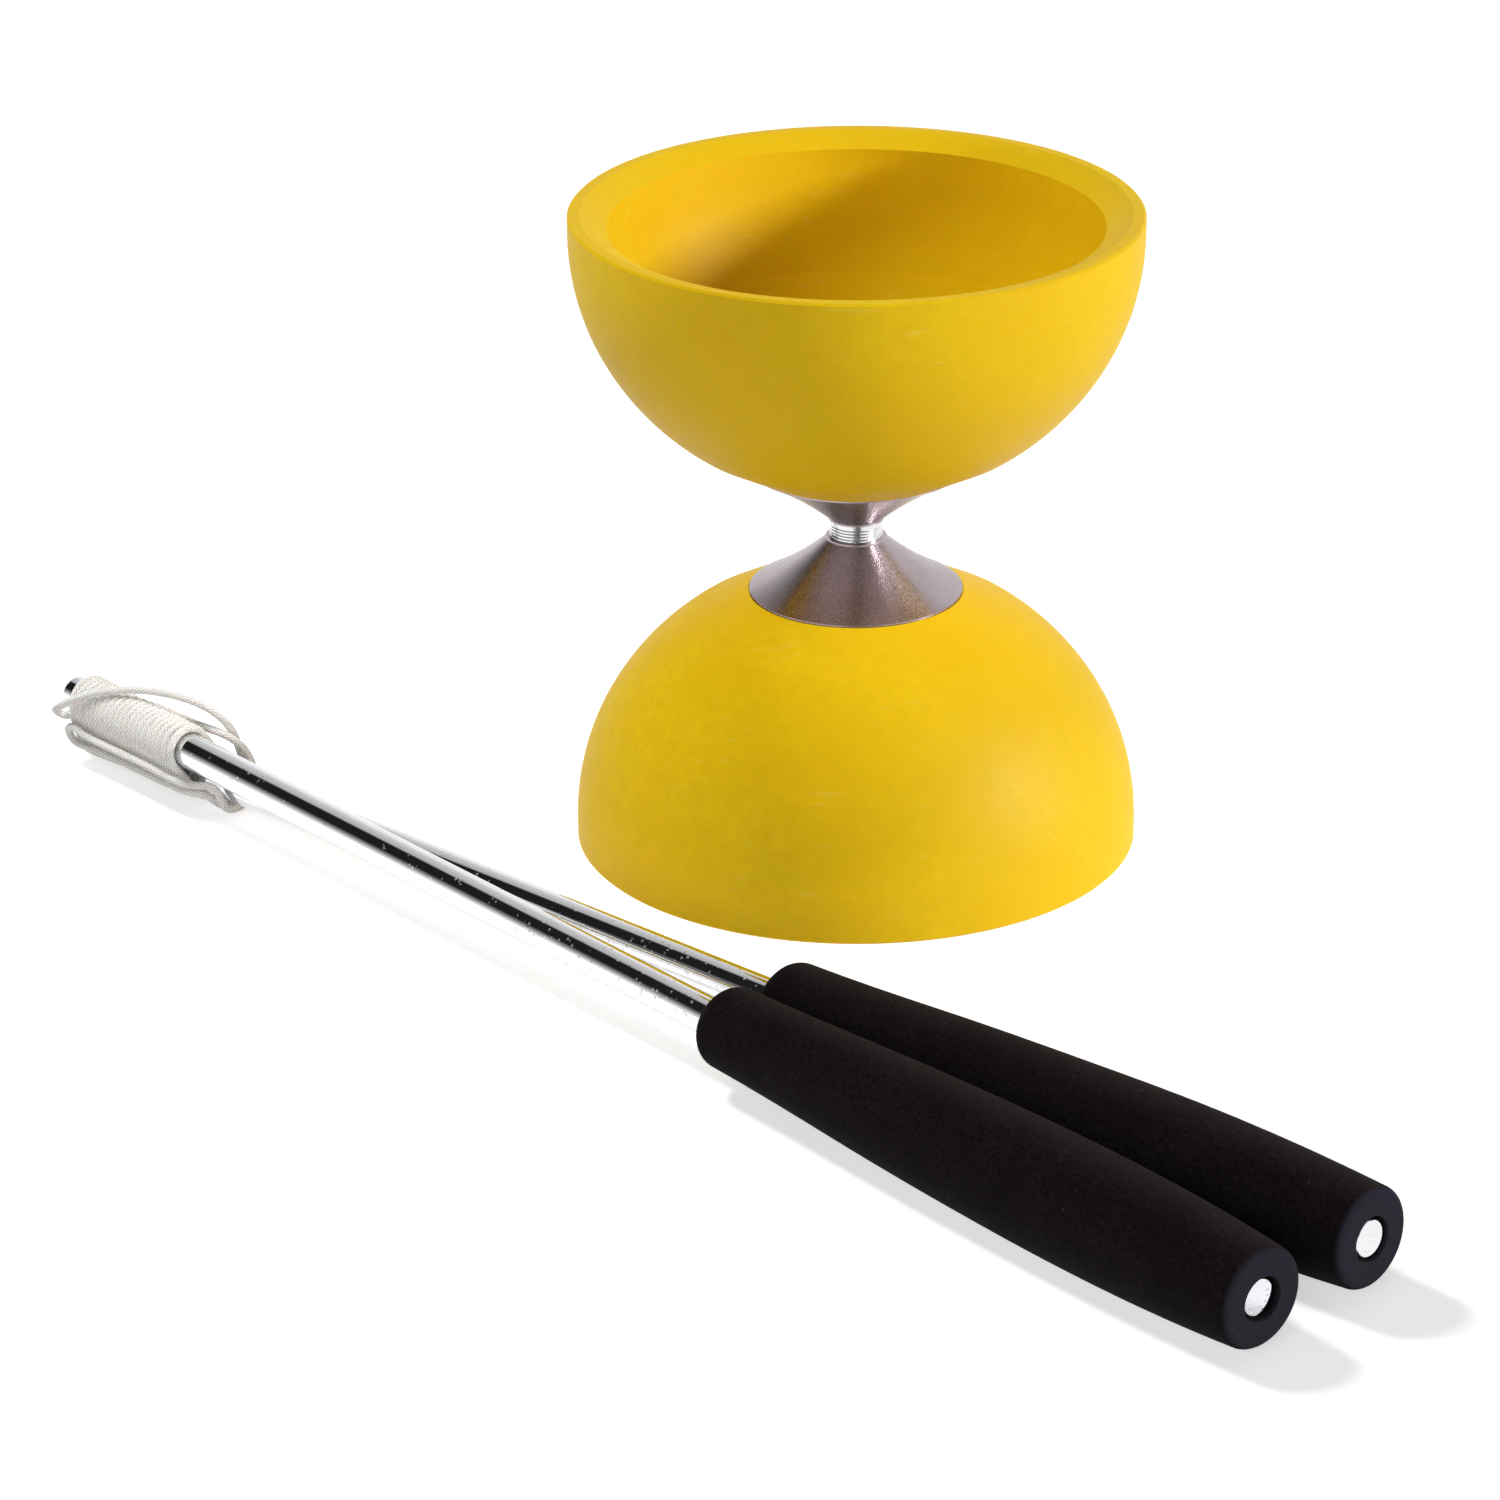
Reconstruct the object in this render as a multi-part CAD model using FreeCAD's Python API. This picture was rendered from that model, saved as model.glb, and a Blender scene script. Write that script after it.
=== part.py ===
import FreeCAD, Part
import math
import os
from FreeCAD import Rotation, Vector

# A diabolo: a spool of two rubber cups on a metal waist, two hand sticks and their string.
# Millimetres, +Z up. The origin is on the floor under the middle of the set's footprint.
# The spool stands on the rim of its lower cup. The sticks lie in front of it, with their
# tips bound together by the string, the front stick's tip lying over the rear one's.

# spool: heights of a cup are measured from its rim towards the waist
SPOOL_X = 31.5
SPOOL_Y = 75.2
SPOOL_H = 116.4
RIM_R = 50.0
RIM_EDGE = 0.4
REST_LAND_R = 47.8
RIM_FOLD_R = 46.0
RIM_FOLD_DROP = 0.7
RIM_INNER_R = 43.2
RIM_INNER_DROP = 2.4
DOME_FROM = 3.4
DOME_DEPTH = 46.6
BOWL_FROM = 8.2
BOWL_DEPTH = 36.5
HUB_FLOOR = 39.0

# waist
CONE_SEAT = 46.0
CONE_SEAM = 0.2
CONE_R = 18.9
CONE_EDGE = 0.8
CONE_HOLLOW = 0.5
LOWER_NECK_R = 5.4
UPPER_NECK_R = 4.9
NECK_EDGE = 0.35
SPIGOT_R = 7.0
SPIGOT_L = 3.0
SLEEVE_L = 3.2
SLEEVE_R = 4.5
SLEEVE_RING_R = 4.8
SLEEVE_RING_L = 0.5
SLEEVE_GROOVE = 0.12

# hardware inside the cups
BOLT_R = 3.0
BOLT_HOLE_R = 3.2
BOLT_L = 50.0
BOLT_HEAD_H = 4.0
HEX_FLATS = 10.0
WASHER_R = 12.5
WASHER_T = 1.6
NUT_H = 4.6
NUT_COLLAR_H = 1.4
NUT_COLLAR_R = 4.6
NUT_RING_R = 3.9

# sticks: a solid rod in a foam sleeve, measured along the rod from its tip
ROD_L = 307.5
ROD_R = 3.25
ROD_EDGE = 0.3
STRING_HOLE_R = 1.1
STRING_HOLE_AT = 9.0
GRIP_FRONT_R = 7.1
GRIP_FRONT_ROUND = 3.2
GRIP_BELLY = [(20.0, 7.7), (41.0, 8.75), (62.0, 9.5), (85.0, 9.85), (106.0, 9.45)]
GRIP_BACK_R = 8.4
GRIP_BACK_ROUND = 1.4
GRIP_MOUTH_R = 3.8
GRIP_MOUTH_L = 2.4
# each grip's start and length, and how much thicker its front end is than the plain shape
FRONT_GRIP = (184.0, 124.5, 0.0)
REAR_GRIP = (181.8, 126.2, 0.7)
GRIP_SWELL_OVER = 60.0
GRIP_LIES_AT = 269.0

# how each stick lies: its tip, the axis's height at the tip and at the grip's widest
# point, and its heading in plan
FRONT_STICK = (-112.9, 110.2, 11.6, 9.88, -48.3)
REAR_STICK = (-111.4, 111.1, 4.8, 10.0, -44.05)

# string: a winding round both rods, and a loose part
CORD_R = 0.75
WINDING_FROM = 2.8
WINDING_TO = 37.0
WINDING_PLAY = 0.3

# the loose string's route: along the front stick from its tip, across it towards the rear
# stick, and up from the floor
STRING_ROUTE = [
    (2.7, -3.2, 8.4), (1.6, -3.2, 8.4), (0.4, -3.3, 8.2), (-0.4, -4.1, 8.8), (0.2, -5.1, 9.8),
    (2.1, -5.5, 11.0), (4.8, -5.7, 12.6), (8.4, -5.0, 14.7), (12.8, -3.1, 16.7), (18.0, 0.6, 17.8),
    (23.8, 3.4, 18.1), (29.4, 5.5, 17.8), (33.8, 7.2, 16.5), (36.4, 8.6, 14.1), (36.8, 9.8, 10.9),
    (37.2, 10.5, 7.4), (38.4, 10.3, 4.1), (39.8, 8.5, 1.7), (40.8, 5.7, 1.15), (41.3, 3.0, 1.4),
    (41.3, 1.2, 2.8), (39.8, 0.3, 4.1), (37.8, -1.6, 4.2), (34.8, -1.7, 3.9), (30.8, -2.0, 3.9),
    (26.0, -2.5, 4.2), (20.4, -3.1, 4.5), (15.2, -3.5, 4.7), (10.8, -3.8, 4.7), (7.8, -4.0, 4.5),
    (5.6, -4.2, 4.4), (4.0, -4.5, 5.4), (3.9, -4.9, 7.2), (5.6, -5.0, 8.1), (8.2, -4.7, 7.4),
    (11.6, -4.5, 7.0), (16.0, -4.4, 7.0), (21.0, -4.3, 7.1), (26.0, -4.3, 7.2), (30.6, -4.3, 7.2),
    (34.2, -4.0, 6.8), (37.2, -3.2, 6.3), (39.6, -1.5, 6.1), (41.8, 0.0, 6.4), (43.5, 0.5, 5.6),
    (44.0, 0.7, 3.7), (43.8, 2.0, 1.8), (43.3, 4.6, 1.15), (42.4, 7.6, 1.3), (41.4, 10.1, 3.1),
    (40.2, 10.9, 6.3), (39.1, 10.2, 9.5), (38.4, 8.4, 11.9), (35.4, 7.1, 12.9), (31.0, 6.4, 12.8),
    (26.0, 6.1, 12.8), (20.6, 5.9, 12.9), (16.4, 5.8, 12.7),
]


def at(r, z):
    return Vector(r, 0, z)


def outline(start, *steps):
    """Closed wire in the XZ plane: a step is a point, or (middle, end) of an arc."""
    edges, here, first = [], at(*start), at(*start)
    for step in steps:
        if isinstance(step[0], tuple):
            middle, end = at(*step[0]), at(*step[1])
            edges.append(Part.Arc(here, middle, end).toShape())
        else:
            end = at(*step)
            edges.append(Part.LineSegment(here, end).toShape())
        here = end
    edges.append(Part.LineSegment(here, first).toShape())
    return Part.Wire(edges)


def turned(wire):
    """Solid of revolution about Z."""
    return Part.Solid(Part.Face(wire).revolve(Vector(0, 0, 0), Vector(0, 0, 1), 360))


def on_ellipse(radius, depth, base, height):
    """Point of an elliptic dome's outline at a height."""
    rise = (height - base) / depth
    return (radius * math.sqrt(1.0 - rise * rise), height)


def height_on_ellipse(radius, depth, base, r):
    return base + depth * math.sqrt(1.0 - (r / radius) ** 2)


def cup():
    """Rubber bowl, its rim at z = 0 and its hub upwards."""
    seam_r = CONE_R + CONE_SEAM
    dome_top = height_on_ellipse(RIM_R, DOME_DEPTH, DOME_FROM, seam_r)
    dome = [on_ellipse(RIM_R, DOME_DEPTH, DOME_FROM, h) for h in (14.0, 24.0, 33.0, 41.0)]
    bowl_heights = (HUB_FLOOR, 32.0, 24.0, 16.0)
    bowl = [on_ellipse(RIM_INNER_R, BOWL_DEPTH, BOWL_FROM, h) for h in bowl_heights]
    return turned(outline(
        (REST_LAND_R, 0.0),
        (RIM_R - RIM_EDGE, 0.0),
        (RIM_R, RIM_EDGE),
        (RIM_R, DOME_FROM),
        (dome[0], dome[1]),
        (dome[2], dome[3]),
        (seam_r, dome_top),
        (seam_r, CONE_SEAT),
        (SPIGOT_R, CONE_SEAT),
        (SPIGOT_R, CONE_SEAT - SPIGOT_L),
        (BOLT_HOLE_R, CONE_SEAT - SPIGOT_L),
        (BOLT_HOLE_R, HUB_FLOOR),
        bowl[0],
        (bowl[1], bowl[2]),
        (bowl[3], (RIM_INNER_R, BOWL_FROM)),
        (RIM_INNER_R, RIM_INNER_DROP),
        (RIM_FOLD_R, RIM_FOLD_DROP),
    ))


def cone(neck_r):
    """Cone washer on the cup's hub, with a spigot that centres it in the rubber."""
    base = CONE_SEAT + CONE_EDGE
    neck = (SPOOL_H - SLEEVE_L) / 2.0 - NECK_EDGE
    lean = math.atan2(CONE_R - neck_r, neck - base)
    middle_r = (CONE_R + neck_r) / 2.0 - CONE_HOLLOW * math.cos(lean)
    middle = (middle_r, (base + neck) / 2.0 - CONE_HOLLOW * math.sin(lean))
    return turned(outline(
        (BOLT_HOLE_R, CONE_SEAT - SPIGOT_L),
        (SPIGOT_R, CONE_SEAT - SPIGOT_L),
        (SPIGOT_R, CONE_SEAT),
        (CONE_R, CONE_SEAT),
        (CONE_R, base),
        (middle, (neck_r, neck)),
        (neck_r, neck + NECK_EDGE),
        (BOLT_HOLE_R, neck + NECK_EDGE),
    ))


def axle_sleeve():
    """Polished sleeve between the cones: a ring at each end, and fine grooves between."""
    low = (SPOOL_H - SLEEVE_L) / 2.0
    high = low + SLEEVE_L
    steps = [(SLEEVE_RING_R, low), (SLEEVE_RING_R, low + SLEEVE_RING_L), (SLEEVE_R, low + SLEEVE_RING_L)]
    pitch = (SLEEVE_L - 2.0 * SLEEVE_RING_L) / 4.0
    for i in range(1, 4):
        z = low + SLEEVE_RING_L + i * pitch
        steps.append((SLEEVE_R, z - SLEEVE_GROOVE))
        steps.append((SLEEVE_R - SLEEVE_GROOVE, z))
        steps.append((SLEEVE_R, z + SLEEVE_GROOVE))
    steps += [(SLEEVE_R, high - SLEEVE_RING_L), (SLEEVE_RING_R, high - SLEEVE_RING_L)]
    steps += [(SLEEVE_RING_R, high), (BOLT_HOLE_R, high)]
    return turned(outline((BOLT_HOLE_R, low), *steps))


def ring(inner_r, outer_r, low, height):
    high = low + height
    return turned(outline((inner_r, low), (outer_r, low), (outer_r, high), (inner_r, high)))


def hexagon(low, height):
    """Hexagonal prism with its corners rounded off as on a bolt head."""
    corner_r = HEX_FLATS / math.sqrt(3.0)
    points = [Vector(corner_r, 0, low)]
    points = [Rotation(Vector(0, 0, 1), 60.0 * i).multVec(points[0]) for i in range(7)]
    prism = Part.Face(Part.makePolygon(points)).extrude(Vector(0, 0, height))
    round_r = HEX_FLATS / 2.0
    edge = corner_r - round_r
    limit = turned(outline(
        (0.0, low), (round_r, low), (corner_r, low + edge),
        (corner_r, low + height - edge), (round_r, low + height), (0.0, low + height),
    ))
    return prism.common(limit)


def axle_bolt():
    """Hexagon bolt, its head inside the lower cup."""
    head_top = HUB_FLOOR - WASHER_T
    shank = Part.makeCylinder(BOLT_R, BOLT_L - 0.5, Vector(0, 0, head_top))
    point = Part.makeCone(BOLT_R, BOLT_R - 0.5, 0.5, Vector(0, 0, head_top + BOLT_L - 0.5))
    return hexagon(head_top - BOLT_HEAD_H, BOLT_HEAD_H).fuse([shank, point]).removeSplitter()


def lock_nut():
    """Nut on the washer inside the upper cup, with a collar that holds the nylon ring."""
    low = SPOOL_H - HUB_FLOOR + WASHER_T
    collar = Part.makeCylinder(NUT_COLLAR_R, NUT_COLLAR_H, Vector(0, 0, low + NUT_H))
    body = hexagon(low, NUT_H).fuse(collar)
    hole = Part.makeCylinder(BOLT_R, NUT_H, Vector(0, 0, low))
    seat = Part.makeCylinder(NUT_RING_R, NUT_COLLAR_H, Vector(0, 0, low + NUT_H))
    return body.cut(hole).cut(seat)


def mirrored(shape):
    """The same piece on the spool's other half."""
    return shape.mirror(Vector(0, 0, SPOOL_H / 2.0), Vector(0, 0, 1))


def spool():
    nut_ring_low = SPOOL_H - HUB_FLOOR + WASHER_T + NUT_H
    lower_washer = ring(BOLT_HOLE_R, WASHER_R, HUB_FLOOR - WASHER_T, WASHER_T)
    pieces = {
        "lower_cup": cup(),
        "upper_cup": mirrored(cup()),
        "lower_cone": cone(LOWER_NECK_R),
        "upper_cone": mirrored(cone(UPPER_NECK_R)),
        "axle_sleeve": axle_sleeve(),
        "axle_bolt": axle_bolt(),
        "lower_washer": lower_washer,
        "upper_washer": mirrored(lower_washer),
        "lock_nut": lock_nut(),
        "lock_nut_ring": ring(BOLT_R, NUT_RING_R, nut_ring_low, NUT_COLLAR_H),
    }
    for piece in pieces.values():
        piece.translate(Vector(SPOOL_X, SPOOL_Y, 0))
    return pieces


def lay(shape, stick):
    """Turn a piece made along Z from the stick's tip to how the stick lies."""
    x, y, tip_up, grip_up, heading = stick
    slope = math.degrees(math.asin((grip_up - tip_up) / GRIP_LIES_AT))
    shape.rotate(Vector(0, 0, 0), Vector(0, 1, 0), 90.0 - slope)
    shape.rotate(Vector(0, 0, 0), Vector(0, 0, 1), heading)
    shape.translate(Vector(x, y, tip_up))
    return shape


def axis_point(stick, along):
    """Point of a stick's axis at a distance from its tip."""
    return lay(Part.Vertex(Vector(0, 0, along)), stick).Point


def rod():
    body = turned(outline(
        (0.0, 0.0), (ROD_R - ROD_EDGE, 0.0), (ROD_R, ROD_EDGE),
        (ROD_R, ROD_L - ROD_EDGE), (ROD_R - ROD_EDGE, ROD_L), (0.0, ROD_L),
    ))
    hole_from = Vector(0, -2.0 * ROD_R, STRING_HOLE_AT)
    hole = Part.makeCylinder(STRING_HOLE_R, 4.0 * ROD_R, hole_from, Vector(0, 1, 0))
    return body.cut(hole)


def grip(low, length, swell):
    """Foam sleeve: rounded front end, barrel belly, and a mouth round the rod's end."""
    high = low + length
    lean = 1.0 - math.sqrt(0.5)
    front_r = GRIP_FRONT_R + swell
    front = at(front_r, low + GRIP_FRONT_ROUND)
    back = at(GRIP_BACK_R, high - GRIP_BACK_ROUND)
    belly_points = [front]
    for along, r in GRIP_BELLY:
        belly_points.append(at(r + swell * max(0.0, 1.0 - along / GRIP_SWELL_OVER), low + along))
    belly = Part.BSplineCurve()
    belly.interpolate(belly_points + [back])
    front_flat = at(front_r - GRIP_FRONT_ROUND, low)
    front_lean = at(front_r - GRIP_FRONT_ROUND * lean, low + GRIP_FRONT_ROUND * lean)
    back_flat = at(GRIP_BACK_R - GRIP_BACK_ROUND, high)
    back_lean = at(GRIP_BACK_R - GRIP_BACK_ROUND * lean, high - GRIP_BACK_ROUND * lean)
    bore = [
        back_flat, at(GRIP_MOUTH_R, high), at(GRIP_MOUTH_R, high - GRIP_MOUTH_L),
        at(ROD_R, high - GRIP_MOUTH_L), at(ROD_R, low), front_flat,
    ]
    edges = [
        Part.Arc(front_flat, front_lean, front).toShape(),
        belly.toShape(),
        Part.Arc(back, back_lean, back_flat).toShape(),
    ]
    edges += [Part.LineSegment(a, b).toShape() for a, b in zip(bore, bore[1:])]
    return turned(Part.Wire(Part.__sortEdges__(edges)))


def oval(front, rear, along, radius):
    """Wire round both rods, square to a direction: two half circles and two straights."""
    across = rear - front
    across = (across - along * across.dot(along)).normalize()
    side = along.cross(across)
    rear = front + (rear - front) - along * (rear - front).dot(along)
    edges = []
    for centre, out in ((front, across * -1.0), (rear, across)):
        turn = (side if centre is front else side * -1.0) * radius
        edges.append(Part.Arc(centre - turn, centre + out * radius, centre + turn).toShape())
    first, second = edges
    joins = [
        Part.LineSegment(first.Vertexes[1].Point, second.Vertexes[0].Point).toShape(),
        Part.LineSegment(second.Vertexes[1].Point, first.Vertexes[0].Point).toShape(),
    ]
    return Part.Wire([first, joins[0], second, joins[1]])


def string_winding():
    """Outer shape of the turns round both rods, hollow where the rods pass."""
    along = (axis_point(FRONT_STICK, ROD_L) - axis_point(FRONT_STICK, 0.0)).normalize()
    wires = []
    for t in (WINDING_FROM, WINDING_TO):
        front, rear = axis_point(FRONT_STICK, t), axis_point(REAR_STICK, t)
        wires.append(oval(front, rear, along, ROD_R + 2.0 * CORD_R))
    body = Part.makeLoft(wires, True, True)
    for stick, hole_r in ((FRONT_STICK, ROD_R), (REAR_STICK, ROD_R + WINDING_PLAY)):
        body = body.cut(lay(Part.makeCylinder(hole_r, ROD_L), stick))
    return body


def route_point(along, across, up):
    """Point beside the front stick, from its tip."""
    turned_by = Rotation(Vector(0, 0, 1), FRONT_STICK[4])
    return Vector(FRONT_STICK[0], FRONT_STICK[1], 0) + turned_by.multVec(Vector(along, across, up))


def cord_tube(points, radius):
    """Tube along straight runs joined by arcs, each as large as its two runs allow."""
    edges = []
    here = points[0]
    for before, corner, after in zip(points, points[1:], points[2:]):
        back, ahead = before - corner, after - corner
        reach = 0.45 * min(back.Length, ahead.Length)
        back.normalize()
        ahead.normalize()
        half_turn = (math.pi - back.getAngle(ahead)) / 2.0
        bend = reach / math.tan(half_turn)
        centre = corner + (back + ahead).normalize() * (bend / math.cos(half_turn))
        middle = centre + (corner - centre).normalize() * bend
        start, end = corner + back * reach, corner + ahead * reach
        edges.append(Part.LineSegment(here, start).toShape())
        edges.append(Part.Arc(start, middle, end).toShape())
        print("arc radius", round(bend, 2), "turn", round(math.degrees(2.0 * half_turn)))
        here = end
    edges.append(Part.LineSegment(here, points[-1]).toShape())
    path = Part.Wire(edges)
    section = Part.Wire([Part.makeCircle(radius, points[0], points[1] - points[0])])
    tube = path.makePipeShell([section], True, False)
    print("tube length", round(path.Length, 1), "volume error",
          round(tube.Volume / (math.pi * radius ** 2 * path.Length) - 1.0, 4))
    return tube


def build():
    pieces = spool()
    pieces["front_rod"] = lay(rod(), FRONT_STICK)
    pieces["rear_rod"] = lay(rod(), REAR_STICK)
    pieces["front_grip"] = lay(grip(*FRONT_GRIP), FRONT_STICK)
    pieces["rear_grip"] = lay(grip(*REAR_GRIP), REAR_STICK)
    pieces["string_winding"] = string_winding()
    pieces["string_loose"] = cord_tube([route_point(*point) for point in STRING_ROUTE], CORD_R)
    return pieces


os.makedirs("parts", exist_ok=True)
for name, shape in build().items():
    shape.exportStep("parts/" + name + ".step")
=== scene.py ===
import math
import random

import bmesh
import bpy
from mathutils import Matrix, Vector


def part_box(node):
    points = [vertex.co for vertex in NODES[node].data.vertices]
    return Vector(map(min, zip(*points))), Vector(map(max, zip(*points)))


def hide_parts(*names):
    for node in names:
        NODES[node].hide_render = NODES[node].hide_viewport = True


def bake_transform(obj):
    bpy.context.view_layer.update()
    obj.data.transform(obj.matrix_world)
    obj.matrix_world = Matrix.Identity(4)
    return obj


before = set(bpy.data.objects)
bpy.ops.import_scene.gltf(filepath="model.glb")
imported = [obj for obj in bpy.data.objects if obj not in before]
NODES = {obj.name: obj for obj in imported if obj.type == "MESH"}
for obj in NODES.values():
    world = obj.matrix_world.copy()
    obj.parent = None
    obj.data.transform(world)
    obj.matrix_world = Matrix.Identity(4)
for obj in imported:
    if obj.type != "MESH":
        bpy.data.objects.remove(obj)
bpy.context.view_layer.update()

# The spool stands on its rim; the sticks lie in front of it. Metres, +Z up.
SPOOL_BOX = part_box("lower_cup")
SPOOL_X = (SPOOL_BOX[0][0] + SPOOL_BOX[1][0]) / 2.0
SPOOL_Y = (SPOOL_BOX[0][1] + SPOOL_BOX[1][1]) / 2.0
SPOOL_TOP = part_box("upper_cup")[1][2]

# How the sticks lie, as the CAD lays them: the tip, the axis's rise per metre, the heading.
FRONT_TIP = Vector((-0.1129, 0.1102, 0.0116))
FRONT_RISE = -0.0064
FRONT_HEADING = math.radians(-48.3)
REAR_TIP = Vector((-0.1114, 0.1111, 0.0048))
REAR_RISE = 0.01933
REAR_HEADING = math.radians(-44.05)
ROD_RADIUS = 0.00325
# From a rod's tip to the end face of its grip.
FRONT_GRIP_END = 0.3085
REAR_GRIP_END = 0.3080

# The string: one cord, wound from the rods' side of the winding to the tip, then loose.
CORD_RADIUS = 0.00075
TURN_RADIUS = ROD_RADIUS + CORD_RADIUS + 0.00002
STRANDS = 8
BRAID_PITCH = 0.0070
BRAID_RELIEF = 0.00010
RING_STEP = 0.00026
RING_POINTS = 16
# Where the turns start, the wider gap between two of them, and where they end, from the tip.
WINDING_FROM = 0.0363
WINDING_GAP_AT = 0.0348
WINDING_GAP = 0.0021
WINDING_TO = 0.0036
WINDING_MIDDLE = 0.02
TURN_PITCH = 0.00151
# The tucked start, as (along, out from between the rods). The loose part and the tucked end are
# (along, across, up) beside the front stick.
TUCKED_START = [(0.0290, 0.0017), (0.0320, 0.0017), (0.0350, 0.0018), (0.0366, 0.0028)]
LOOSE_ROUTE = [
    (0.0027, -0.0032, 0.0084), (0.0016, -0.0032, 0.0084), (0.0004, -0.0033, 0.0082),
    (-0.0004, -0.0041, 0.0088), (0.0002, -0.0051, 0.0098), (0.0021, -0.0055, 0.0110),
    (0.0048, -0.0057, 0.0126), (0.0084, -0.0050, 0.0147), (0.0128, -0.0031, 0.0167),
    (0.0180, 0.0006, 0.0178), (0.0238, 0.0034, 0.0181), (0.0294, 0.0055, 0.0178),
    (0.0338, 0.0072, 0.0165), (0.0364, 0.0086, 0.0141), (0.0368, 0.0098, 0.0109),
    (0.0372, 0.0105, 0.0074), (0.0384, 0.0103, 0.0041), (0.0398, 0.0085, 0.0017),
    (0.0408, 0.0057, 0.00115), (0.0413, 0.0030, 0.0014), (0.0413, 0.0012, 0.0028),
    (0.0398, 0.0003, 0.0041), (0.0378, -0.0016, 0.0042), (0.0348, -0.0017, 0.0039),
    (0.0308, -0.0020, 0.0039), (0.0260, -0.0025, 0.0042), (0.0204, -0.0031, 0.0045),
    (0.0152, -0.0035, 0.0047), (0.0108, -0.0038, 0.0047), (0.0078, -0.0040, 0.0045),
    (0.0056, -0.0042, 0.0044), (0.0040, -0.0045, 0.0054), (0.0039, -0.0049, 0.0072),
    (0.0056, -0.0050, 0.0081), (0.0082, -0.0047, 0.0074), (0.0116, -0.0045, 0.0070),
    (0.0160, -0.0044, 0.0070), (0.0210, -0.0043, 0.0071), (0.0260, -0.0043, 0.0072),
    (0.0306, -0.0043, 0.0072), (0.0342, -0.0040, 0.0068), (0.0372, -0.0032, 0.0063),
    (0.0396, -0.0015, 0.0061), (0.0418, 0.0, 0.0064), (0.0435, 0.0005, 0.0056),
    (0.0440, 0.0007, 0.0037), (0.0438, 0.0020, 0.0018), (0.0433, 0.0046, 0.00115),
    (0.0424, 0.0076, 0.0013), (0.0414, 0.0101, 0.0031), (0.0402, 0.0109, 0.0063),
    (0.0391, 0.0102, 0.0095), (0.0384, 0.0084, 0.0119), (0.0354, 0.0071, 0.0129),
    (0.0310, 0.0064, 0.0128), (0.0260, 0.0061, 0.0128), (0.0206, 0.0059, 0.0129),
    (0.0164, 0.0058, 0.0127),
]
TUCKED_END = [(0.0140, 0.0053, 0.0122), (0.0122, 0.0040, 0.0117), (0.0110, 0.0022, 0.0114)]

# Camera: it looks down on the set from the front, a little to the left.
CAMERA_FROM_SPOOL = Vector((0.0, -0.97757, 0.43304))
CAMERA_YAW = -0.01939
CAMERA_PITCH = 0.40385
CAMERA_ROLL = 0.006325
CAMERA_FOCAL = 142.34
SENSOR = 36.0

# The spool's CAD nodes, which the side light passes by.
SPOOL_NODES = (
    "lower_cup", "upper_cup", "lower_cone", "upper_cone", "axle_sleeve", "axle_bolt",
    "lower_washer", "upper_washer", "lock_nut", "lock_nut_ring",
)

# Lamps: each direction is an azimuth from +X, an elevation and a distance.
KEY_WATTS = 14.0
KEY_FROM = (-14.0, 16.0, 1.2)
SIDE_WATTS = 9.0
SIDE_FROM = (147.0, 52.0, 1.2)
SIDE_TARGET = (0.03, -0.03, 0.01)
FILL_WATTS = 9.5
FILL_PLACE = (-0.35, -1.35, 0.55)
STRING_WATTS = 2.6
STRING_LAMP_FROM = (-50.0, 62.0, 0.8)

# The studio's brightness from the horizon beyond the set, over the top, to behind the camera.
STUDIO_STOPS = [
    (0.0, 1.0), (0.20, 1.0), (0.24, 0.75), (0.48, 0.50),
    (0.53, 0.015), (0.80, 0.015), (0.89, 0.30), (1.0, 1.0),
]
# A bright patch straight overhead: the heights at which it starts and is full, and its strength.
OVERHEAD_FROM = 0.955
OVERHEAD_FULL = 0.995
OVERHEAD_STRENGTH = 5.0
# The world's strength for rays that aren't reflections, and the white floor's own glow.
DIFFUSE_WORLD = 0.15
FLOOR_GLOW = 0.58
FLOOR_HALF = 6.0


# ---- helpers for shapes ----

def heading_axes(heading):
    """Directions along and across a stick that lies at a heading."""
    along = Vector((math.cos(heading), math.sin(heading), 0.0))
    across = Vector((-math.sin(heading), math.cos(heading), 0.0))
    return along, across


def beside_front_stick(along, across, up):
    """Point given along the front stick from its tip, across it, and up from the floor."""
    forward, sideways = heading_axes(FRONT_HEADING)
    foot = Vector((FRONT_TIP.x, FRONT_TIP.y, 0.0))
    return foot + forward * along + sideways * across + Vector((0.0, 0.0, up))


def front_axis(along):
    """The front rod's axis, across and up, beside a point of the front rod."""
    return Vector((0.0, FRONT_TIP.z + FRONT_RISE * along))


def rear_axis(along):
    """The rear rod's axis, across and up, beside a point of the front rod."""
    forward, sideways = heading_axes(FRONT_HEADING)
    rear_forward = heading_axes(REAR_HEADING)[0]
    offset = REAR_TIP - FRONT_TIP
    travelled = (along - offset.dot(forward)) / rear_forward.dot(forward)
    across = offset.dot(sideways) + travelled * rear_forward.dot(sideways)
    return Vector((across, REAR_TIP.z + REAR_RISE * travelled))


def link(obj):
    bpy.context.scene.collection.objects.link(obj)
    return obj


def smooth(mesh):
    for polygon in mesh.polygons:
        polygon.use_smooth = True


# ---- camera ----

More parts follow.
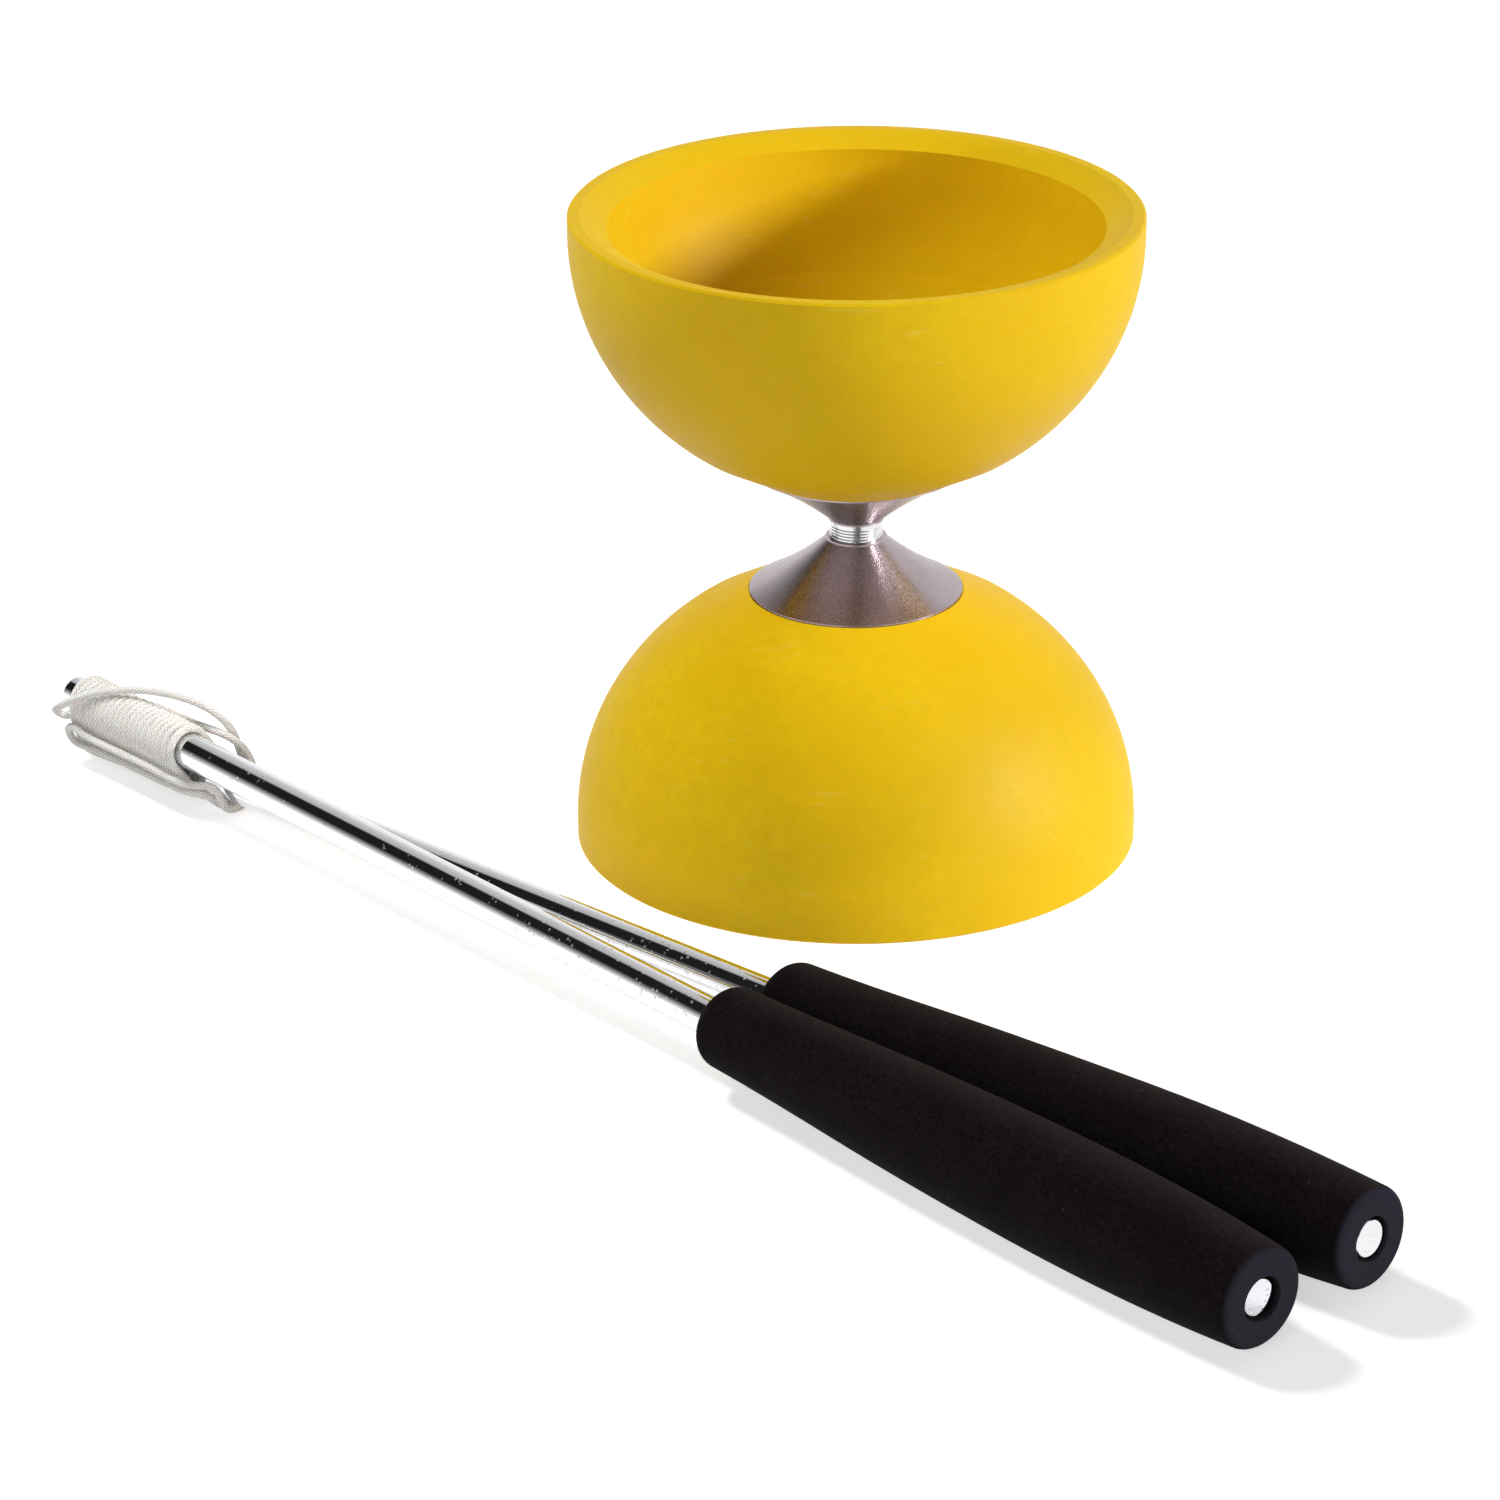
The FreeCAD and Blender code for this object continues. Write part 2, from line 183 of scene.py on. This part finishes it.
def make_camera():
    forward = Vector((
        math.sin(CAMERA_YAW) * math.cos(CAMERA_PITCH),
        math.cos(CAMERA_YAW) * math.cos(CAMERA_PITCH),
        -math.sin(CAMERA_PITCH),
    ))
    right = Vector((math.cos(CAMERA_YAW), -math.sin(CAMERA_YAW), 0.0))
    down = forward.cross(right)
    tilted_right = right * math.cos(CAMERA_ROLL) + down * math.sin(CAMERA_ROLL)
    tilted_down = down * math.cos(CAMERA_ROLL) - right * math.sin(CAMERA_ROLL)
    data = bpy.data.cameras.new("camera")
    data.sensor_width = SENSOR
    data.sensor_height = SENSOR
    data.lens = CAMERA_FOCAL
    data.clip_start = 0.01
    camera = link(bpy.data.objects.new("camera", data))
    place = Vector((SPOOL_X, SPOOL_Y, 0.0)) + CAMERA_FROM_SPOOL
    turn = Matrix((tilted_right, -tilted_down, -forward)).transposed()
    camera.matrix_world = Matrix.Translation(place) @ turn.to_4x4()
    bpy.context.scene.camera = camera


# ---- string ----

def turn_points(along, pitch):
    """Control points of one turn round both rods, from the far side of the rear rod.

    Each half turn meets its rod, goes round it in six points and leaves it. The six stand a little
    farther out, so that the smooth line through them keeps its distance from the rod.
    """
    points = []
    corner_radius = TURN_RADIUS / math.cos(math.radians(15.0))
    for step in range(16):
        here = along - pitch * step / 16.0
        front, rear = front_axis(here), rear_axis(here)
        up = (front - rear).normalized()
        near = Vector((-up.y, up.x))
        rear_half = step < 8
        centre = rear if rear_half else front
        place = step % 8
        start = 180.0 if rear_half else 0.0
        if place in (0, 7):
            angle, radius = start + (0.0 if place == 0 else 180.0), TURN_RADIUS
        else:
            angle, radius = start + 15.0 + 30.0 * (place - 1), corner_radius
        angle = math.radians(angle)
        spot = centre + (near * math.cos(angle) + up * math.sin(angle)) * radius
        points.append((here, spot.x, spot.y))
    return points


def notch(along, out):
    """Point beside the line between the rods, on the far side, out from it."""
    front, rear = front_axis(along), rear_axis(along)
    up = (front - rear).normalized()
    spot = (front + rear) / 2.0 - Vector((-up.y, up.x)) * out
    return (along, spot.x, spot.y)


def string_route():
    """The whole string: its tucked start, the turns, the loose part and its tucked end."""
    rng = random.Random(7)
    route = [notch(along, out) for along, out in TUCKED_START]
    along = WINDING_FROM
    while along > WINDING_TO + TURN_PITCH * 0.5:
        pitch = TURN_PITCH * (1.0 + rng.uniform(-0.04, 0.05))
        if abs(along - WINDING_GAP_AT) < TURN_PITCH / 2.0:
            pitch = WINDING_GAP
        route += turn_points(along, pitch)
        along -= pitch
    route += turn_points(along, TURN_PITCH * 0.3)[:9]
    route += LOOSE_ROUTE[1:]
    route += TUCKED_END
    return [beside_front_stick(*point) for point in route]


def nurbs_line(points):
    """The smooth line through a route's control points, as evenly sampled points."""
    curve = bpy.data.curves.new("string_line", "CURVE")
    curve.dimensions = "3D"
    curve.resolution_u = 4
    spline = curve.splines.new("NURBS")
    spline.points.add(len(points) - 1)
    for control, point in zip(spline.points, points):
        control.co = (*point, 1.0)
    spline.order_u = 3
    spline.use_endpoint_u = True
    carrier = link(bpy.data.objects.new("string_line", curve))
    bpy.context.view_layer.update()
    mesh = bpy.data.meshes.new_from_object(carrier)
    line = [vertex.co.copy() for vertex in mesh.vertices]
    bpy.data.objects.remove(carrier)
    bpy.data.curves.remove(curve)
    bpy.data.meshes.remove(mesh)
    return line


def evenly(line, step):
    """Points along a line, a step apart."""
    lengths = [0.0]
    for a, b in zip(line, line[1:]):
        lengths.append(lengths[-1] + (b - a).length)
    count = int(lengths[-1] / step)
    points, place = [], 0
    for i in range(count + 1):
        target = lengths[-1] * i / count
        while place < len(line) - 2 and lengths[place + 1] < target:
            place += 1
        span = max(lengths[place + 1] - lengths[place], 1e-9)
        points.append(line[place].lerp(line[place + 1], (target - lengths[place]) / span))
    return points, lengths[-1]


def braided_tube(name, line):
    """Round braid along a line, its strands raised a little, with a cap at each end."""
    mesh = bpy.data.meshes.new(name)
    bm = bmesh.new()
    uv_layer = bm.loops.layers.uv.new("along_and_round")
    side = (line[1] - line[0]).orthogonal().normalized()
    rings = []
    for i, point in enumerate(line):
        ahead = (line[min(i + 1, len(line) - 1)] - line[max(i - 1, 0)]).normalized()
        side = (side - ahead * side.dot(ahead)).normalized()
        other = ahead.cross(side)
        ring = []
        for j in range(RING_POINTS):
            turn = 2.0 * math.pi * j / RING_POINTS
            twist = 2.0 * math.pi * i * RING_STEP / BRAID_PITCH
            crossing = math.cos(STRANDS / 2 * (turn + twist)) * math.cos(STRANDS / 2 * (turn - twist))
            radius = CORD_RADIUS - BRAID_RELIEF + BRAID_RELIEF * abs(crossing)
            out = side * math.cos(turn) + other * math.sin(turn)
            ring.append(bm.verts.new(point + out * radius))
        rings.append(ring)
    for i, (ring, following) in enumerate(zip(rings, rings[1:])):
        for j in range(RING_POINTS):
            k = (j + 1) % RING_POINTS
            face = bm.faces.new((ring[j], ring[k], following[k], following[j]))
            corners = ((i, j), (i, j + 1), (i + 1, j + 1), (i + 1, j))
            for loop, (row, column) in zip(face.loops, corners):
                loop[uv_layer].uv = (row * RING_STEP / BRAID_PITCH, column / RING_POINTS)
    bm.faces.new(list(reversed(rings[0])))
    bm.faces.new(rings[-1])
    bm.to_mesh(mesh)
    bm.free()
    smooth(mesh)
    return link(bpy.data.objects.new(name, mesh))


def make_string():
    line, length = evenly(nurbs_line(string_route()), RING_STEP)
    string = braided_tube("string", line)
    string.data.materials.append(string_material())
    end = beside_front_stick(WINDING_MIDDLE, *rear_axis(WINDING_MIDDLE))
    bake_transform(string)
    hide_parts("string_winding", "string_loose")
    return string


# ---- materials ----

class Nodes:
    """The node tree of a material or of the world, with short calls for the nodes used here."""

    def __init__(self, owner, shader):
        owner.use_nodes = True
        self.owner = owner
        self.tree = owner.node_tree
        self.shader = self.tree.nodes[shader]

    def add(self, kind, inputs=(), **settings):
        node = self.tree.nodes.new(kind)
        for key, value in settings.items():
            setattr(node, key, value)
        for key, value in dict(inputs).items():
            self.put(node.inputs[key], value)
        return node

    def put(self, socket, value):
        if isinstance(value, bpy.types.NodeSocket):
            self.tree.links.new(value, socket)
        elif isinstance(value, bpy.types.Node):
            self.tree.links.new(value.outputs[0], socket)
        else:
            socket.default_value = value

    def set(self, **inputs):
        for key, value in inputs.items():
            self.put(self.shader.inputs[key.replace("_", " ")], value)

    def place(self):
        return self.add("ShaderNodeTexCoord").outputs["Object"]

    def noise(self, scale, detail=3.0, rough=0.5, vector=None):
        inputs = {"Scale": scale, "Detail": detail, "Roughness": rough}
        inputs["Vector"] = vector or self.place()
        return self.add("ShaderNodeTexNoise", inputs).outputs["Fac"]

    def ramp(self, factor, stops):
        node = self.add("ShaderNodeValToRGB", {"Fac": factor})
        ramp = node.color_ramp
        while len(ramp.elements) < len(stops):
            ramp.elements.new(0.5)
        for element, (position, colour) in zip(ramp.elements, stops):
            element.position = position
            if isinstance(colour, (int, float)):
                colour = (colour, colour, colour)
            element.color = (*colour, 1.0)
        return node.outputs["Color"]

    def mix(self, factor, a, b, blend="MIX"):
        node = self.add("ShaderNodeMix", data_type="RGBA", blend_type=blend)
        for index, value in ((0, factor), (6, a), (7, b)):
            if isinstance(value, tuple) and len(value) == 3:
                value = (*value, 1.0)
            self.put(node.inputs[index], value)
        return node.outputs[2]

    def maths(self, operation, a, b=0.0):
        node = self.add("ShaderNodeMath", operation=operation)
        self.put(node.inputs[0], a)
        self.put(node.inputs[1], b)
        return node.outputs[0]

    def bump(self, height, distance, strength, normal=None):
        inputs = {"Height": height, "Distance": distance, "Strength": strength}
        if normal is not None:
            inputs["Normal"] = normal
        return self.add("ShaderNodeBump", inputs).outputs["Normal"]

    def stretched(self, scale, rotation):
        inputs = {"Vector": self.place(), "Scale": scale, "Rotation": rotation}
        return self.add("ShaderNodeMapping", inputs).outputs["Vector"]

    def along(self, origin, direction):
        """Distance of a surface point along a direction from an origin."""
        inputs = {0: self.place(), 1: tuple(origin)}
        offset = self.add("ShaderNodeVectorMath", inputs, operation="SUBTRACT")
        return self.dot(offset.outputs[0], direction)

    def dot(self, vector, direction):
        inputs = {0: vector, 1: tuple(direction)}
        return self.add("ShaderNodeVectorMath", inputs, operation="DOT_PRODUCT").outputs["Value"]


def material_nodes(name):
    return Nodes(bpy.data.materials.new(name), "Principled BSDF")


def string_material():
    """White braid: crossing strands, with painted beige shade in the grooves between them."""
    m = material_nodes("string_braid")
    uv = m.add("ShaderNodeUVMap", uv_map="along_and_round").outputs["UV"]
    split = m.add("ShaderNodeSeparateXYZ", {"Vector": uv})
    strands = []
    for sense in (1.0, -1.0):
        lean = m.maths("MULTIPLY", split.outputs["X"], sense)
        place = m.maths("ADD", lean, split.outputs["Y"])
        phase = m.maths("MULTIPLY", place, 2.0 * math.pi * STRANDS / 2)
        strands.append(m.maths("COSINE", phase))
    weave = m.maths("ABSOLUTE", m.maths("MULTIPLY", *strands))
    fibres = m.noise(9000.0, 2.0, 0.6)
    height = m.maths("ADD", weave, m.maths("MULTIPLY", fibres, 0.35))
    stain = m.noise(260.0, 3.0, 0.6)
    clean = m.ramp(stain, [(0.35, 0.0), (0.7, 1.0)])
    clean = m.mix(clean, (0.96, 0.955, 0.94), (0.98, 0.98, 0.97))
    # painted shade: the grooves between the strands are tinted beige, darker than the raised strands
    colour = m.mix(m.ramp(weave, [(0.0, 1.0), (0.45, 0.0)]), clean, (0.50, 0.44, 0.36))
    m.set(Base_Color=colour, Roughness=0.8, Sheen_Weight=0.25, Sheen_Roughness=0.5)
    m.set(Subsurface_Weight=0.15, Subsurface_Scale=0.0006, Specular_IOR_Level=0.25)
    m.set(Normal=m.bump(height, 0.00016, 0.8))
    return m.owner


def rubber_material():
    """Moulded yellow rubber: mottled, with fine scratches and pits."""
    m = material_nodes("yellow_rubber")
    broad = m.noise(26.0, 4.0, 0.55)
    fine = m.noise(380.0, 3.0, 0.6)
    mottled = m.ramp(broad, [(0.35, 0.0), (0.68, 1.0)])
    colour = m.mix(mottled, (0.72, 0.435, 0.0040), (0.77, 0.520, 0.0065))
    colour = m.mix(m.ramp(fine, [(0.30, 0.0), (0.75, 1.0)]), colour, (0.70, 0.450, 0.0050))
    scratches = scratch_height(m)
    colour = m.mix(m.maths("MULTIPLY", scratches, 0.12), colour, (0.90, 0.68, 0.16))
    grain = m.noise(2200.0, 2.0, 0.5)
    rough = m.ramp(broad, [(0.3, 0.48), (0.7, 0.58)])
    m.set(Base_Color=colour, Roughness=rough, Specular_IOR_Level=0.13)
    m.set(Subsurface_Weight=0.06, Subsurface_Scale=0.002, Coat_Weight=0.0)
    normal = m.bump(grain, 0.00004, 0.35)
    m.set(Normal=m.bump(scratches, 0.00003, 0.6, normal))
    return m.owner


def scratch_height(m):
    """Fine hairline scratches in a few directions, in patches."""
    total = None
    for turn, scale in ((0.5, 900.0), (2.1, 1200.0), (1.2, 1500.0)):
        vector = m.stretched((0.04, 1.0, 0.7), (0.35, turn * 0.6, turn))
        lines = m.noise(scale, 1.0, 0.4, vector)
        lines = m.ramp(lines, [(0.66, 0.0), (0.72, 1.0)])
        where = m.ramp(m.noise(40.0 + 30.0 * turn, 2.0), [(0.5, 0.0), (0.62, 1.0)])
        lines = m.maths("MULTIPLY", lines, where)
        total = lines if total is None else m.maths("MAXIMUM", total, lines)
    return total


def cone_material():
    """Turned alloy: fine rings and a grainy tint, which stretch a highlight down the cone."""
    m = material_nodes("cone_metal")
    split = m.add("ShaderNodeSeparateXYZ", {"Vector": m.place()})
    rings = m.add("ShaderNodeCombineXYZ", {"Z": split.outputs["Z"]})
    turned = m.noise(5200.0, 2.0, 0.7, rings.outputs[0])
    grain = m.noise(2600.0, 3.0, 0.7)
    tint = m.noise(60.0, 3.0, 0.6)
    tinted = m.ramp(tint, [(0.35, 0.0), (0.65, 1.0)])
    metal = m.mix(tinted, (0.42, 0.35, 0.385), (0.52, 0.47, 0.52))
    metal = m.mix(m.ramp(grain, [(0.35, 0.5), (0.7, 0.0)]), metal, (0.34, 0.26, 0.23))
    m.set(Base_Color=metal, Metallic=1.0, Roughness=m.ramp(grain, [(0.3, 0.22), (0.7, 0.34)]))
    m.set(Anisotropic=0.8, Anisotropic_Rotation=0.25)
    m.set(Tangent=m.add("ShaderNodeTangent", direction_type="RADIAL", axis="Z"))
    height = m.maths("ADD", turned, m.maths("MULTIPLY", grain, 0.6))
    m.set(Normal=m.bump(height, 0.00003, 0.5))
    return m.owner


def sleeve_material():
    m = material_nodes("polished_sleeve")
    grain = m.noise(3000.0, 2.0)
    m.set(Base_Color=m.mix(grain, (0.74, 0.74, 0.77), (0.84, 0.84, 0.86)), Metallic=1.0)
    m.set(Roughness=m.ramp(grain, [(0.3, 0.14), (0.7, 0.24)]), Normal=m.bump(grain, 0.00001, 0.3))
    return m.owner


def steel_material():
    m = material_nodes("zinc_plated_steel")
    grain = m.noise(900.0, 4.0, 0.6)
    colour = m.ramp(grain, [(0.3, (0.42, 0.43, 0.45)), (0.7, (0.58, 0.58, 0.58))])
    m.set(Base_Color=colour, Metallic=1.0)
    m.set(Roughness=m.ramp(grain, [(0.3, 0.28), (0.7, 0.45)]), Normal=m.bump(grain, 0.00003, 0.4))
    return m.owner


def nylon_material():
    m = material_nodes("nylon")
    grain = m.noise(1500.0, 2.0)
    m.set(Base_Color=m.mix(grain, (0.72, 0.75, 0.78), (0.80, 0.82, 0.84)), Roughness=0.45)
    m.set(Subsurface_Weight=0.2, Subsurface_Scale=0.001, Normal=m.bump(grain, 0.00002, 0.3))
    return m.owner


def chrome_material(name, tip, heading, rise):
    """Bright chromed rod: tiny pits, thickest near the grip."""
    m = material_nodes(name)
    direction = heading_axes(heading)[0] + Vector((0.0, 0.0, rise))
    along = m.along(tip, direction)
    wear = m.add("ShaderNodeMapRange", {0: along, 1: 0.03, 2: 0.19, 3: 0.0, 4: 1.0})
    pits = m.add("ShaderNodeTexVoronoi", {"Vector": m.place(), "Scale": 900.0}, feature="F1")
    dots = m.ramp(pits.outputs["Distance"], [(0.16, 1.0), (0.26, 0.0)])
    chance = m.noise(300.0, 2.0, 0.6)
    some = m.maths("GREATER_THAN", m.maths("ADD", chance, m.maths("MULTIPLY", wear, 0.15)), 0.60)
    dots = m.maths("MULTIPLY", dots, some)
    ripple = m.noise(330.0, 3.0, 0.6)
    height = m.maths("ADD", m.maths("MULTIPLY", ripple, m.maths("MULTIPLY", wear, 0.5)), dots)
    m.set(Base_Color=m.mix(ripple, (0.76, 0.77, 0.80), (0.84, 0.84, 0.86)), Metallic=1.0)
    rough = m.maths("MULTIPLY_ADD", dots, 0.45)
    rough.node.inputs[2].default_value = 0.045
    m.set(Roughness=rough, Normal=m.bump(height, 0.00006, 0.5))
    return m.owner


def foam_material(name, tip, heading, rise, face):
    """Black velvety foam, its end face a little lighter."""
    m = material_nodes(name)
    direction = heading_axes(heading)[0] + Vector((0.0, 0.0, rise))
    along = m.along(tip, direction)
    inputs = {0: along, 1: face - 0.0009, 2: face - 0.0002, 3: 0.0, 4: 1.0}
    end = m.add("ShaderNodeMapRange", inputs)
    cells = m.noise(1500.0, 4.0, 0.75)
    broad = m.noise(90.0, 3.0)
    black = m.ramp(cells, [(0.35, 0.0), (0.72, 1.0)])
    black = m.mix(black, (0.0022, 0.0015, 0.0017), (0.0150, 0.0115, 0.0118))
    black = m.mix(m.ramp(broad, [(0.3, 0.0), (0.7, 0.5)]), black, (0.0026, 0.0016, 0.0015))
    colour = m.mix(end.outputs[0], black, (0.016, 0.014, 0.022))
    specks = m.ramp(m.noise(1100.0, 1.0, 0.4), [(0.79, 0.0), (0.84, 1.0)])
    colour = m.mix(m.maths("MULTIPLY", specks, 0.55), colour, (0.07, 0.065, 0.065))
    m.set(Base_Color=colour, Roughness=0.95, Specular_IOR_Level=0.05)
    m.set(Sheen_Weight=0.03, Sheen_Roughness=0.6, Sheen_Tint=(0.55, 0.45, 0.45, 1.0))
    m.set(Normal=m.bump(cells, 0.00035, 0.55))
    return m.owner


def paint(material, *names):
    """Give CAD nodes a material."""
    for name in names:
        mesh = NODES[name].data
        mesh.materials.clear()
        mesh.materials.append(material)


# ---- floor, lights ----

def make_floor():
    """White floor that glows only for the camera and in reflections."""
    mesh = bpy.data.meshes.new("floor")
    half = FLOOR_HALF
    corners = [(-half, -half, 0.0), (half, -half, 0.0), (half, half, 0.0), (-half, half, 0.0)]
    mesh.from_pydata(corners, [], [(0, 1, 2, 3)])
    m = material_nodes("floor_white")
    grain = m.noise(3.0, 2.0)
    m.set(Base_Color=m.mix(grain, (0.80, 0.80, 0.80), (0.82, 0.82, 0.82)), Roughness=0.9)
    path = m.add("ShaderNodeLightPath")
    seen = m.maths("MAXIMUM", path.outputs["Is Camera Ray"], path.outputs["Is Glossy Ray"])
    glow = m.maths("MULTIPLY", seen, FLOOR_GLOW)
    m.set(Specular_IOR_Level=0.0, Emission_Color=(1.0, 1.0, 1.0, 1.0), Emission_Strength=glow)
    mesh.materials.append(m.owner)
    floor = link(bpy.data.objects.new("floor", mesh))
    return floor


def area_light(name, place, target, size, watts, glossy=True):
    data = bpy.data.lights.new(name, "AREA")
    data.shape = "RECTANGLE"
    data.size, data.size_y = size
    data.energy = watts
    light = link(bpy.data.objects.new(name, data))
    place, target = Vector(place), Vector(target)
    turn = (target - place).to_track_quat("-Z", "Y").to_matrix()
    light.matrix_world = Matrix.Translation(place) @ turn.to_4x4()
    light.visible_glossy = glossy
    return light


def make_world():
    """A studio that is white beyond the set and dark above and behind the camera."""
    world = bpy.data.worlds.new("studio")
    bpy.context.scene.world = world
    m = Nodes(world, "Background")
    direction = m.add("ShaderNodeTexCoord").outputs["Generated"]
    height = m.add("ShaderNodeSeparateXYZ", {"Vector": direction}).outputs["Z"]
    beyond = m.dot(direction, heading_axes(FRONT_HEADING)[1])
    share = m.maths("DIVIDE", m.maths("ARCTAN2", height, beyond), math.pi)
    inputs = {0: height, 1: OVERHEAD_FROM, 2: OVERHEAD_FULL, 3: 0.0, 4: OVERHEAD_STRENGTH}
    overhead = m.add("ShaderNodeMapRange", inputs, interpolation_type="SMOOTHSTEP")
    path = m.add("ShaderNodeLightPath")
    inputs = {0: path.outputs["Is Glossy Ray"], 3: DIFFUSE_WORLD, 4: 1.0}
    strength = m.add("ShaderNodeMapRange", inputs)
    m.set(Color=m.mix(1.0, m.ramp(share, STUDIO_STOPS), overhead, "ADD"), Strength=strength)


def from_direction(target, azimuth, elevation, distance):
    """Place at a distance from a target, azimuth from +X towards +Y."""
    flat = math.cos(math.radians(elevation))
    direction = Vector((
        flat * math.cos(math.radians(azimuth)),
        flat * math.sin(math.radians(azimuth)),
        math.sin(math.radians(elevation)),
    ))
    return Vector(target) + direction * distance


def light_set(name, objects, state):
    """Objects for a light: INCLUDE makes them the only ones, and EXCLUDE leaves them out."""
    group = bpy.data.collections.new(name)
    for obj in objects:
        group.objects.link(obj)
    for member in group.collection_objects:
        member.light_linking.link_state = state
    return group


def make_lights(floor, string):
    """A key that spares the floor, a side light that the spool doesn't block, a fill, and a lamp
    for the string alone."""
    spool_middle = (SPOOL_X, SPOOL_Y, SPOOL_TOP / 2.0)
    place = from_direction(spool_middle, *KEY_FROM)
    key = area_light("key", place, spool_middle, (0.16, 0.16), KEY_WATTS)
    key.light_linking.receiver_collection = light_set("not_lit_by_key", [floor], "EXCLUDE")

    place = from_direction(SIDE_TARGET, *SIDE_FROM)
    side = area_light("side", place, SIDE_TARGET, (0.2, 0.2), SIDE_WATTS, glossy=False)
    spool = [NODES[name] for name in SPOOL_NODES]
    side.light_linking.blocker_collection = light_set("not_blocking_side", spool, "EXCLUDE")

    area_light("fill", FILL_PLACE, spool_middle, (1.0, 0.7), FILL_WATTS, glossy=False)

    winding = beside_front_stick(WINDING_MIDDLE, 0.0, 0.01)
    place = from_direction(winding, *STRING_LAMP_FROM)
    lamp = area_light("string_lamp", place, winding, (0.1, 0.1), STRING_WATTS, glossy=False)
    lamp.light_linking.receiver_collection = light_set("lit_by_string_lamp", [string], "INCLUDE")


# ---- making ----

make_camera()
cord = make_string()
paint(rubber_material(), "lower_cup", "upper_cup")
paint(cone_material(), "lower_cone", "upper_cone")
paint(sleeve_material(), "axle_sleeve")
paint(steel_material(), "axle_bolt", "lock_nut", "lower_washer", "upper_washer")
paint(nylon_material(), "lock_nut_ring")
paint(chrome_material("front_rod_chrome", FRONT_TIP, FRONT_HEADING, FRONT_RISE), "front_rod")
paint(chrome_material("rear_rod_chrome", REAR_TIP, REAR_HEADING, REAR_RISE), "rear_rod")
paint(foam_material("front_foam", FRONT_TIP, FRONT_HEADING, FRONT_RISE, FRONT_GRIP_END), "front_grip")
paint(foam_material("rear_foam", REAR_TIP, REAR_HEADING, REAR_RISE, REAR_GRIP_END), "rear_grip")
set_floor = make_floor()
make_world()
make_lights(set_floor, cord)
bpy.context.scene.view_settings.view_transform = "Standard"
